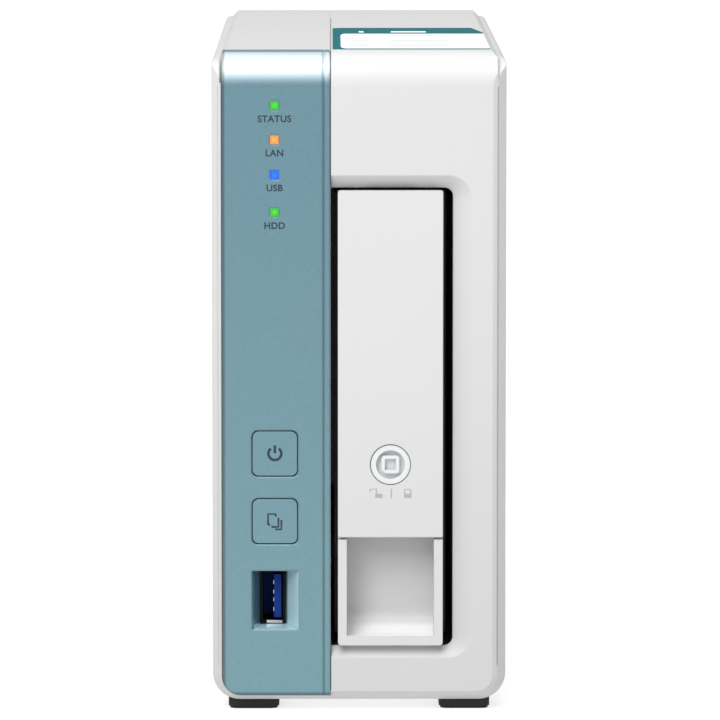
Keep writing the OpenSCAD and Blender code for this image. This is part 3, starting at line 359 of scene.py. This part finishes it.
ratingSheet = {"x": 0.0, "y": 66.0, "half": (18.0, 11.0),
               "film": tone(196, 198, 200), "ink": tone(70, 72, 76)}
topSheet = {"left": -6.7, "band": 2.1, "front": -96.6, "field": -25, "corner": (1.4, 10),
            "ink": tone(42, 100, 108), "paper": tone(240, 244, 244), "rule": tone(70, 76, 80)}
# painted highlight on the floor of the finger recess under the tray lever
paintedRecessHighlight = {"x": (-3.05, 19.05), "y": -108.9, "z": (20.6, 22.5), "share": 0.55, "colour": tone(252, 252, 252)}
finishes = {
    "casing": mouldedPlastic("casingWhite", tone(195, 195, 195), depth=0.000014, rounding=0.0006,
                             spread=0.025, foot=0.86),
    "tray": mouldedPlastic("trayWhite", tone(197, 197, 197), rough=0.34, grain=2200, depth=0.000007,
                           rounding=0.0004, spread=0.02, coat=0.12, foot=0.9, bright=paintedRecessHighlight),
    "lock": mouldedPlastic("lockGrey", tone(204, 206, 207), rough=0.32, grain=2400, depth=0.000006,
                           rounding=0.0002, spread=0.03, coat=0.2),
    "teal": tealPaint("tealPaint", rounding=0.001),
    "tealKey": tealPaint("tealKeyPaint", rounding=0.0003),
    "label": labelPrint("topPrint", topSheet),
    "rubber": softRubber("footRubber"),
    "green": lightWindow("statusWindow", 155.3, tone(24, 136, 24), tone(92, 232, 66)),
    "amber": lightWindow("networkWindow", 146.6, tone(200, 96, 30), tone(250, 206, 120)),
    "blue": lightWindow("portWindow", 137.7, tone(4, 66, 200), tone(16, 146, 250)),
    "greenLow": lightWindow("driveWindow", 128.1, tone(24, 136, 24), tone(92, 232, 66)),
    "blackPlastic": mouldedPlastic("blackPlastic", tone(24, 24, 26), rough=0.5, grain=2400, depth=0.00002,
                                   rounding=0.0003, spread=0.2),
    "fanPlastic": mouldedPlastic("fanPlastic", tone(20, 20, 22), rough=0.4, grain=1800, depth=0.000015,
                                 rounding=0.0004, spread=0.2),
    "blackSteel": powderCoat("cageCoat", tone(26, 26, 28), rough=0.52),
    "trayCoat": powderCoat("trayCoat", tone(34, 34, 36), rough=0.46),
    "rearCoat": powderCoat("rearCoat", tone(186, 188, 190), rough=0.45, depth=0.00002),
    "shellSteel": drawnSteel("portSteel", tone(196, 198, 202), along=(60, 1, 60)),
    # painted shade: the steel shell of the front port is coloured near black, as it lies in shade inside the port
    "paintedShadePortShell": plainInk("paintedShadePortShell", tone(10, 10, 14), rough=0.6, gloss=0.1),
    "dullTin": drawnSteel("dullTin", tone(214, 210, 204), along=(30, 1, 30), rough=0.3, rounding=0.00005),
    "screwSteel": drawnSteel("screwSteel", tone(178, 180, 184), along=(20, 20, 20), rough=0.3),
    "cellSteel": drawnSteel("cellSteel", tone(206, 206, 200), along=(1, 30, 1), rough=0.22),
    "brass": drawnSteel("turnedBrass", tone(214, 176, 96), along=(1, 40, 1), rough=0.25),
    "gold": drawnSteel("contactGold", tone(232, 190, 92), along=(30, 1, 30), rough=0.2, rounding=0.00005),
    "tongueBlue": plainInk("tongueBlue", tone(15, 50, 122), gloss=0.1),
    "board": circuitBoard("mainBoardMask", across=1),
    "frontBoard": circuitBoard("frontBoardMask"),
    "chip": chipBody("chipBody"),
    "heatsink": finnedAluminium("finAluminium"),
    "can": finnedAluminium("capacitorCan"),
    "ferrite": mouldedPlastic("pressedFerrite", tone(72, 72, 74), rough=0.7, grain=1500, depth=0.00003,
                              rounding=0.0003, spread=0.15),
    "film": mouldedPlastic("ribbonFilm", tone(224, 224, 216), rough=0.4, grain=2000, depth=0.000006,
                           rounding=0.0001, spread=0.05),
    "ivory": mouldedPlastic("ivoryPlastic", tone(226, 220, 196), rough=0.4, grain=2400, depth=0.000008,
                            rounding=0.0002, spread=0.06),
    "ink": plainInk("wordInk", tone(18, 42, 56)),
    "greyInk": plainInk("keyInk", tone(150, 152, 154)),
    "shadowInk": plainInk("paintedGapShadow", tone(44, 52, 56), rough=0.8),
    "rearInk": plainInk("rearInk", tone(88, 92, 96)),
    "plate": ratingPrint("ratingPlate", ratingSheet),
    "linkGreen": mouldedPlastic("linkGreen", tone(70, 150, 70), rough=0.25, depth=0.000004, rounding=0.0001,
                                spread=0.1),
    "linkAmber": mouldedPlastic("linkAmber", tone(196, 150, 60), rough=0.25, depth=0.000004,
                                rounding=0.0001, spread=0.1),
}
wears = {
    "left_shell": "casing", "right_shell": "casing", "front_panel": "teal", "top_label": "label",
    "rubber_feet": "rubber", "lens_status": "green", "lens_network": "amber", "lens_port": "blue",
    "lens_drive": "greenLow", "panel_board": "frontBoard", "panel_screws": "screwSteel",
    "indicator_leds": "ivory", "switch_bodies": "blackPlastic", "power_button": "tealKey",
    "power_plunger": "blackPlastic", "copy_button": "tealKey", "copy_plunger": "blackPlastic",
    "front_port_shell": "paintedShadePortShell", "front_port_tongue": "tongueBlue", "front_port_contacts": "dullTin",
    "drive_cage": "blackSteel", "upper_rail": "blackPlastic", "lower_rail": "blackPlastic",
    "cage_screws": "screwSteel", "main_board": "board", "board_standoffs": "brass",
    "board_screws": "screwSteel", "processor": "chip", "heatsink": "heatsink", "memory_chips": "chip",
    "small_chips": "chip", "capacitors": "can", "inductors": "ferrite", "cell_holder": "blackPlastic",
    "coin_cell": "cellSteel", "network_port": "shellSteel", "network_contacts": "gold",
    "rear_port_shell": "shellSteel", "rear_port_tongues": "tongueBlue", "power_jack": "blackPlastic",
    "jack_pin": "shellSteel", "reset_switch": "blackPlastic", "reset_plunger": "film",
    "riser_slot": "blackPlastic", "backplane_board": "frontBoard", "drive_connector": "blackPlastic",
    "rear_panel": "rearCoat", "rear_screws": "screwSteel", "fan_frame": "fanPlastic",
    "fan_rotor": "fanPlastic", "fan_screws": "screwSteel", "fan_cable": "blackPlastic",
    "ribbon_cable": "film", "tray_carrier": "trayCoat", "tray_bezel": "tray", "tray_screws": "screwSteel",
    "lever_pin": "screwSteel", "tray_lever": "tray", "lock_core": "lock", "lock_cam": "screwSteel",
}


def wear(piece, name):
    piece.data.materials.clear()
    piece.data.materials.append(finishes[name])


for nodeName, node in nodes.items():
    wear(node, wears[nodeName])
print("finishes on", len(nodes), "nodes")


def clearSelection():
    if bpy.context.object and bpy.context.object.mode != "OBJECT":
        bpy.ops.object.mode_set(mode="OBJECT")
    bpy.ops.object.select_all(action="DESELECT")


def pickUp(piece):
    clearSelection()
    piece.select_set(True)
    bpy.context.view_layer.objects.active = piece


def settle(piece, name, body, finish, smooth=32):
    # place into the mesh, then onto its body
    pickUp(piece)
    bpy.ops.object.transform_apply(location=True, rotation=True, scale=True)
    if smooth:
        bpy.ops.object.shade_smooth_by_angle(angle=math.radians(smooth))
    piece.name = name
    wear(piece, finish)
    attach(piece, body)
    return piece


def meters(*values):
    return tuple(v / 1000 for v in values)


def roundedBlock(name, low, high, radius, body, finish, segments=3):
    # block with rounded edges, corners in mm
    clearSelection()
    middle = meters(*[(a + b) / 2 for a, b in zip(low, high)])
    bpy.ops.mesh.primitive_cube_add(size=1, location=middle)
    piece = bpy.context.object
    piece.scale = meters(*[b - a for a, b in zip(low, high)])
    bpy.ops.object.transform_apply(location=True, rotation=True, scale=True)
    bpy.ops.object.mode_set(mode="EDIT")
    bpy.ops.mesh.bevel(offset=radius / 1000, segments=segments, affect="EDGES")
    bpy.ops.object.mode_set(mode="OBJECT")
    return settle(piece, name, body, finish)


def drawnLine(name, paths, width, flat, body, finish, closed=False):
    # strokes of one width along points in mm, pressed flat along Y by the factor flat
    curve = bpy.data.curves.new(name, "CURVE")
    curve.dimensions = "3D"
    curve.bevel_depth = width / 2000
    curve.bevel_resolution = 2
    curve.use_fill_caps = True
    middleY = sum(p[1] for p in paths[0]) / len(paths[0]) if flat < 1 else 0
    for path in paths:
        spline = curve.splines.new("POLY")
        spline.points.add(len(path) - 1)
        spline.use_cyclic_u = closed
        for point, (x, y, z) in zip(spline.points, path):
            point.co = (*meters(x, y - middleY, z), 1)
    piece = bpy.data.objects.new(name, curve)
    bpy.context.scene.collection.objects.link(piece)
    pickUp(piece)
    bpy.ops.object.convert(target="MESH")
    piece = bpy.context.object
    piece.scale = (1, flat, 1)
    piece.location = (0, middleY / 1000, 0)
    return settle(piece, name, body, finish)


def printedWord(name, word, x, z, height, body, finish):
    clearSelection()
    bpy.ops.object.text_add(location=meters(x, frontY - 0.01, z), rotation=(math.pi / 2, 0, 0))
    piece = bpy.context.object
    piece.data.body = word
    piece.data.size = height * 1.37 / 1000
    piece.data.space_character = 1.06
    piece.data.offset = 0.00006
    piece.data.extrude = 0.00001
    piece.data.align_x = "CENTER"
    piece.data.align_y = "CENTER"
    bpy.ops.object.convert(target="MESH")
    return settle(bpy.context.object, name, body, finish, 0)


def ring(radius, start, end, count, x=0.0, z=0.0):
    # part of a circle as steps from a middle point, angles clockwise from the top
    angles = [math.radians(start + (end - start) * i / count) for i in range(count + 1)]
    return [(x + radius * math.sin(angle), z + radius * math.cos(angle)) for angle in angles]


def square(half, x=0.0, z=0.0):
    return [(x + half * a, z + half * b) for a, b in ((-1, -1), (1, -1), (1, 1), (-1, 1), (-1, -1))]


def around(x, y, z, *paths):
    # steps from a middle point as points in the plane of a wall
    return [[(x + stepX, y, z + stepZ) for stepX, stepZ in path] for path in paths]


# status panel: plain words under the windows, and a picture on each key
panelMarks = {
    "words": [("STATUS", 155.3), ("LAN", 146.6), ("USB", 137.7), ("HDD", 128.1)],
    "drop": 3.45, "height": 1.72, "ahead": 0.02, "flat": 0.1,
    "powerZ": 66.4, "powerLine": 0.68, "copyZ": 49.0, "copyLine": 0.54}
for word, z in panelMarks["words"]:
    wordZ = z - panelMarks["drop"]
    printedWord("word" + word.title(), word, panelX, wordZ, panelMarks["height"], "casing", "ink")
markY, flat = frontY - panelMarks["ahead"], panelMarks["flat"]
powerPicture = around(panelX, markY, panelMarks["powerZ"], ring(1.65, 38, 322, 28), [(0, 0.1), (0, 2.1)])
drawnLine("powerMark", powerPicture, panelMarks["powerLine"], flat, "power_key", "ink")
copyPicture = around(panelX, markY, panelMarks["copyZ"],
                     [(-1.75, -0.9), (-1.75, 1.85), (0.2, 1.85), (0.2, 1.2)], [(-1.75, -0.9), (-1.2, -0.9)],
                     [(0.9, 0.85), (0.9, -1.45), (-0.9, -1.45)], [(1.65, 0.3), (1.65, -2.1), (0.1, -2.1)])
drawnLine("copyMark", copyPicture, panelMarks["copyLine"], flat, "copy_key", "ink")

# bright spring tab at the foot of the front port
portTab = {"low": (-23.7, -104.0, 22.0), "high": (-19.7, -103.85, 22.75), "edge": 0.05}
roundedBlock("frontPortTab", portTab["low"], portTab["high"], portTab["edge"], "casing", "shellSteel", 2)

# pictures under the lock: open padlock, bar, shut padlock, and a painted shadow line round the barrel
lockMarks = {"z": 56.1, "y": frontY - 0.51, "line": 0.34, "openX": 4.1, "barX": 8.25, "shutX": 11.45,
             "body": (1.9, 1.05), "gapY": frontY - 0.49, "gapRadius": 5.14, "gapLine": 0.2, "gapFlat": 0.35}
leverY, lowZ = lockMarks["y"], lockMarks["z"]
lockPictures = {
    "lockOpenShackle": (lockMarks["openX"], [(-1.3, 0.5), (-1.3, 1.2), (0.3, 1.2), (0.3, 0)]),
    "lockShutShackle": (lockMarks["shutX"], [(0.15, 0), (0.15, 1.1), (1.75, 1.1), (1.75, 0)]),
    "lockBar": (lockMarks["barX"], [(0, -1.1), (0, 1.3)])}
for name, (x, path) in lockPictures.items():
    drawnLine(name, around(x, leverY, lowZ, path), lockMarks["line"], flat, "lever", "greyInk")
width, tall = lockMarks["body"]
for name, x in (("lockOpenBody", lockMarks["openX"]), ("lockShutBody", lockMarks["shutX"])):
    low, high = (x, leverY - 0.02, lowZ - tall), (x + width, leverY + 0.03, lowZ)
    roundedBlock(name, low, high, 0.02, "lever", "greyInk", 1)
# painted shadow: a dark line drawn on the lever round the barrel, where the gap is in shade
gap = around(trayX, lockMarks["gapY"], lockZ, ring(lockMarks["gapRadius"], 0, 352.5, 47))
drawnLine("lockGapShadow", gap, lockMarks["gapLine"], lockMarks["gapFlat"], "lever", "shadowInk", True)
print("front marks drawn")

# rear: link lamps of the network socket, a picture beside each connector, and the plate underneath
rear = {"panelY": 106.62, "line": 0.42, "lampX": (-13.61, -12.51), "lampY": (106.65, 107.5),
        "lampZ": (61.0, 71.0), "lampHalf": 1.45, "lampEdge": 0.15, "plateZ": (2.45, 2.62), "plateEdge": 0.06}
for name, finish, z in zip(("linkLampLow", "linkLampHigh"), ("linkAmber", "linkGreen"), rear["lampZ"]):
    low = (rear["lampX"][0], rear["lampY"][0], z - rear["lampHalf"])
    high = (rear["lampX"][1], rear["lampY"][1], z + rear["lampHalf"])
    roundedBlock(name, low, high, rear["lampEdge"], "casing", finish, 2)
rearPictures = {
    "networkMark": (-4.6, 66.0, [square(0.75, 0, 1.9), square(0.75, -1.8, -1.9), square(0.75, 1.8, -1.9),
                                 [(0, 1.15), (0, 0)], [(-1.8, -1.15), (-1.8, 0), (1.8, 0), (1.8, -1.15)]]),
    "portMark": (-4.6, 45.0, [[(0, -2.6), (0, 2.6)], [(0, -0.8), (1.4, 0.4), (1.4, 1.3)],
                              [(0, -1.6), (-1.4, -0.6), (-1.4, 0.4)]]),
    "inletMark": (-9.6, 20.0, [ring(1.9, 40, 320, 20), [(-2.6, 0), (0, 0)], [(1.9, 0), (3.4, 0)]]),
    "resetMark": (-18.6, 83.0, [ring(1.3, 30, 320, 18), [(-1.3, 1.6), (-0.7, 0.9), (-1.6, 0.6)]]),
    "slotMark": (24.0, 24.2, [square(1.2), ring(0.8, -90, 90, 10, 0, 1.2)])}
for name, (x, z, paths) in rearPictures.items():
    drawnLine(name, around(x, rear["panelY"], z, *paths), rear["line"], flat, "casing", "rearInk")
sheetX, sheetY = ratingSheet["x"], ratingSheet["y"]
halfX, halfY = ratingSheet["half"]
roundedBlock("ratingPlate", (sheetX - halfX, sheetY - halfY, rear["plateZ"][0]),
             (sheetX + halfX, sheetY + halfY, rear["plateZ"][1]), rear["plateEdge"], "casing", "plate", 1)
print("rear marks and plate placed")


# studio: backlit white table, one broad lamp high in front, a low strip lamp and one overhead
studio = {"floor": 24.0, "sky": 0.53, "sun": 1.68, "spread": 38, "height": 60, "side": -18, "glow": 0.72}
clearSelection()
bpy.ops.mesh.primitive_plane_add(size=studio["floor"], location=(0, 0, 0))
floor = bpy.context.object
floor.name = "studioFloor"
paper = Finish("floorPaper")
tooth = paper.noise(300, 3.0, 0.6)
paperColour = paper.blend(tooth * 0.1, (0.36, 0.36, 0.36, 1), (0.33, 0.33, 0.33, 1))
floor.data.materials.append(paper.surface(Base_Color=paperColour, Roughness=0.8 + tooth * 0.1,
                                          Emission_Color=(1, 1, 1, 1), Emission_Strength=studio["glow"]))
scene = bpy.context.scene
scene.world = bpy.data.worlds.new("studioSky")
scene.world.use_nodes = True
scene.world.node_tree.nodes["Background"].inputs["Color"].default_value = (1, 1, 1, 1)
scene.world.node_tree.nodes["Background"].inputs["Strength"].default_value = studio["sky"]
scene.view_settings.view_transform = "Standard"


def lamp(kind, name, spot, target, power, size=0.3):
    clearSelection()
    bpy.ops.object.light_add(type=kind, location=spot)
    made = bpy.context.object
    made.name = name
    made.data.energy = power
    if kind == "AREA":
        made.data.size = size
    made.rotation_euler = (Vector(target) - Vector(spot)).to_track_quat("-Z", "Y").to_euler()
    return made.data


height, side = math.radians(studio["height"]), math.radians(studio["side"])
reach = 2 * math.cos(height)
sunSpot = (reach * math.sin(side), -reach * math.cos(side), 2 * math.sin(height))
lamp("SUN", "highLamp", sunSpot, (0, 0, 0), studio["sun"]).angle = math.radians(studio["spread"])
lamp("AREA", "lowLamp", (-0.38, -0.85, 0.6), (0, -0.1, 0.14), 3.9, 0.4)
lamp("AREA", "overheadLamp", (0.0, -0.12, 0.8), (0, -0.1, 0.16), 1.8, 0.5)

shot = {"from": (-0.0069, -1.684, 0.2553), "at": (0.00023, -0.109, 0.0904), "lens": 310.8}
bpy.ops.object.camera_add(location=shot["from"])
camera = bpy.context.object
camera.data.sensor_width = 36
camera.data.lens = shot["lens"]
camera.data.clip_start, camera.data.clip_end = 0.05, 20
camera.rotation_euler = (Vector(shot["at"]) - Vector(shot["from"])).to_track_quat("-Z", "Y").to_euler()
scene.camera = camera
print("studio set")
